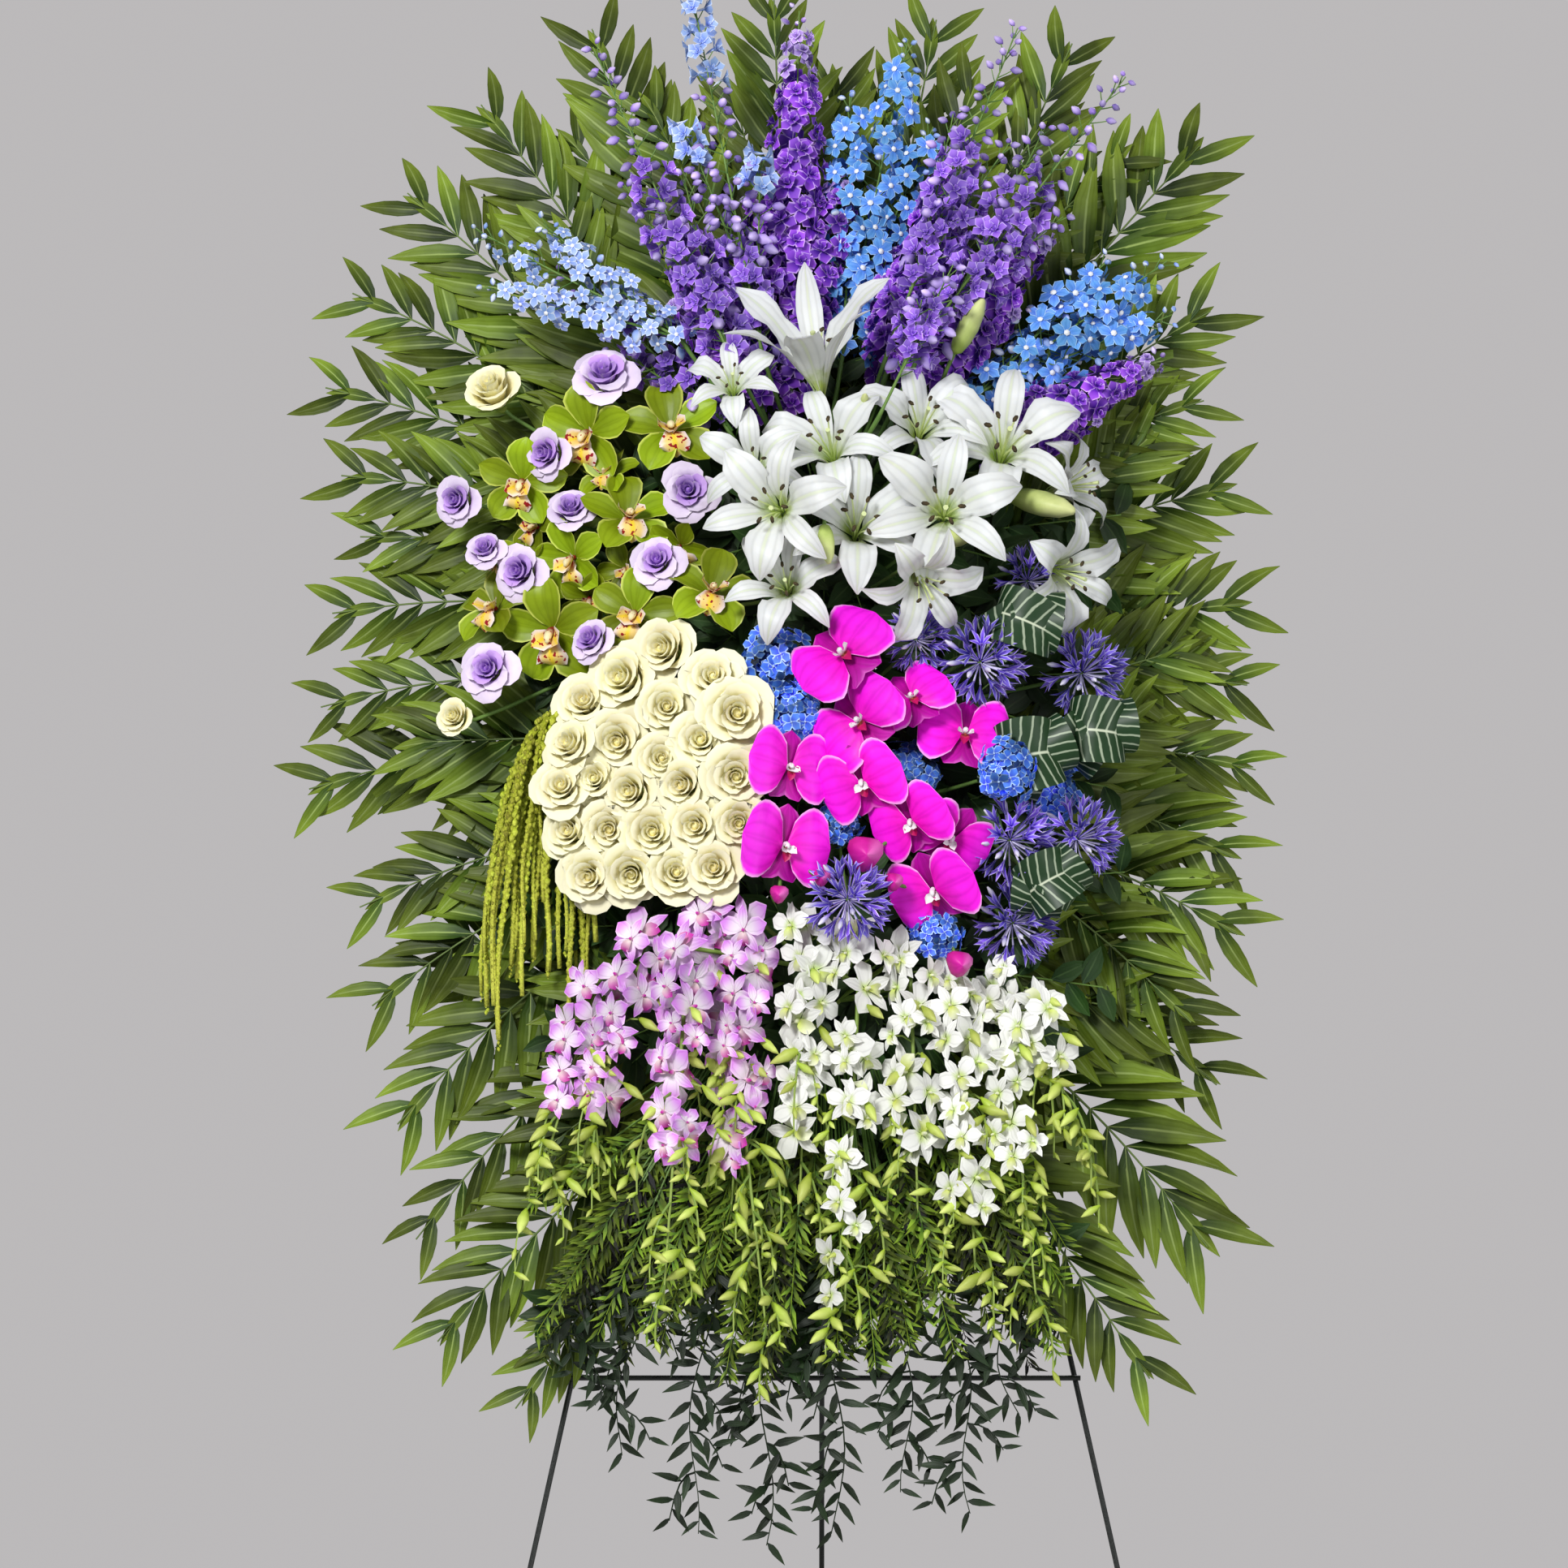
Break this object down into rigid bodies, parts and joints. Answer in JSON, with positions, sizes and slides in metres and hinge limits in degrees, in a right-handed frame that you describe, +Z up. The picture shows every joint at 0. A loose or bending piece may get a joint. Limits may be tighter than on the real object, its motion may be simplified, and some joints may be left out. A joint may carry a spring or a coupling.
{
  "type": "standing funeral spray on easel",
  "caption": "Tall oval spray of lilies, orchids, roses and trailing stems in a foam cage, hung on a folding wire easel that stands on its own feet.",
  "frame": {"origin": "on the floor, under the middle of the whole part's bounding box", "axes": "+Z up, -Y towards the viewer, +X to the viewer's right; the easel's front leans back towards +Y"},
  "size_m": [1.0762, 0.8554, 1.9033],
  "materials": {
    "green_wire": "dark green paint on round steel wire, satin",
    "cage_plastic": "moulded green plastic",
    "floral_foam": "open-celled wet floral foam, dull",
    "palm_green": "fresh palm fronds, waxy",
    "trailing_green": "fresh trailing leaves",
    "striped_leaf": "dark leaf with cream stripes",
    "stock_violet": "ruffled violet florets",
    "larkspur_lavender": "lavender florets",
    "sky_blue": "sky-blue florets",
    "lily_white": "white petals, satin",
    "cream_rose": "cream petals",
    "lilac_rose": "lilac petals",
    "cymbidium_lime": "lime-green waxy petals",
    "phalaenopsis_magenta": "magenta petals",
    "hydrangea_blue": "blue florets in domed heads",
    "agapanthus_indigo": "violet-blue narrow florets",
    "amaranthus_green": "dull yellow-green tassels",
    "dendrobium_pink": "pink petals",
    "dendrobium_white": "white petals with a green tint"
  },
  "bodies": {
    "spray": {"easel_leg_left": "green_wire", "easel_leg_right": "green_wire", "easel_bar_upper": "green_wire", "easel_bar_lower": "green_wire", "easel_hinge_bar": "green_wire", "foam_cage": "cage_plastic", "foam_brick_upper": "floral_foam", "foam_brick_middle": "floral_foam", "foam_brick_lower": "floral_foam", "palm_left_01": "palm_green", "palm_left_02": "palm_green", "palm_left_03": "palm_green", "palm_left_04": "palm_green", "palm_left_05": "palm_green", "palm_left_06": "palm_green", "palm_left_07": "palm_green", "palm_left_08": "palm_green", "palm_left_09": "palm_green", "palm_left_10": "palm_green", "palm_left_11": "palm_green", "palm_top_01": "palm_green", "palm_top_02": "palm_green", "palm_right_01": "palm_green", "palm_right_02": "palm_green", "palm_right_03": "palm_green", "palm_right_04": "palm_green", "palm_right_05": "palm_green", "palm_right_06": "palm_green", "palm_right_07": "palm_green", "palm_right_08": "palm_green", "palm_right_09": "palm_green", "palm_right_10": "palm_green", "stock_centre": "stock_violet", "stock_left": "stock_violet", "stock_right_upper": "stock_violet", "stock_right_middle": "stock_violet", "stock_right_lower": "stock_violet", "larkspur_left": "larkspur_lavender", "larkspur_left_low": "larkspur_lavender", "larkspur_top": "larkspur_lavender", "larkspur_right": "larkspur_lavender", "larkspur_right_top": "larkspur_lavender", "larkspur_middle": "larkspur_lavender", "blue_delphinium_top": "sky_blue", "blue_delphinium_right": "sky_blue", "blue_delphinium_left": "sky_blue", "lily_stem_upper": "lily_white", "lily_stem_lower": "lily_white", "cymbidium_spray": "cymbidium_lime", "lilac_roses": "lilac_rose", "cream_roses": "cream_rose", "amaranthus_tassels": "amaranthus_green", "phalaenopsis_spray": "phalaenopsis_magenta", "hydrangea_heads": "hydrangea_blue", "agapanthus_heads": "agapanthus_indigo", "striped_leaves": "striped_leaf", "pink_dendrobiums": "dendrobium_pink", "white_dendrobiums": "dendrobium_white", "trailing_ruscus": "trailing_green"},
    "back_leg": {"easel_back_leg": "green_wire"}
  },
  "joints": [
    {"name": "back_leg_hinge", "type": "hinge", "parent": "spray", "child": "back_leg", "pos_m": [0.05024, 0.04763, 1.512], "axis": [1, 0, 0], "range_deg": [-24, 0]}
  ]
}
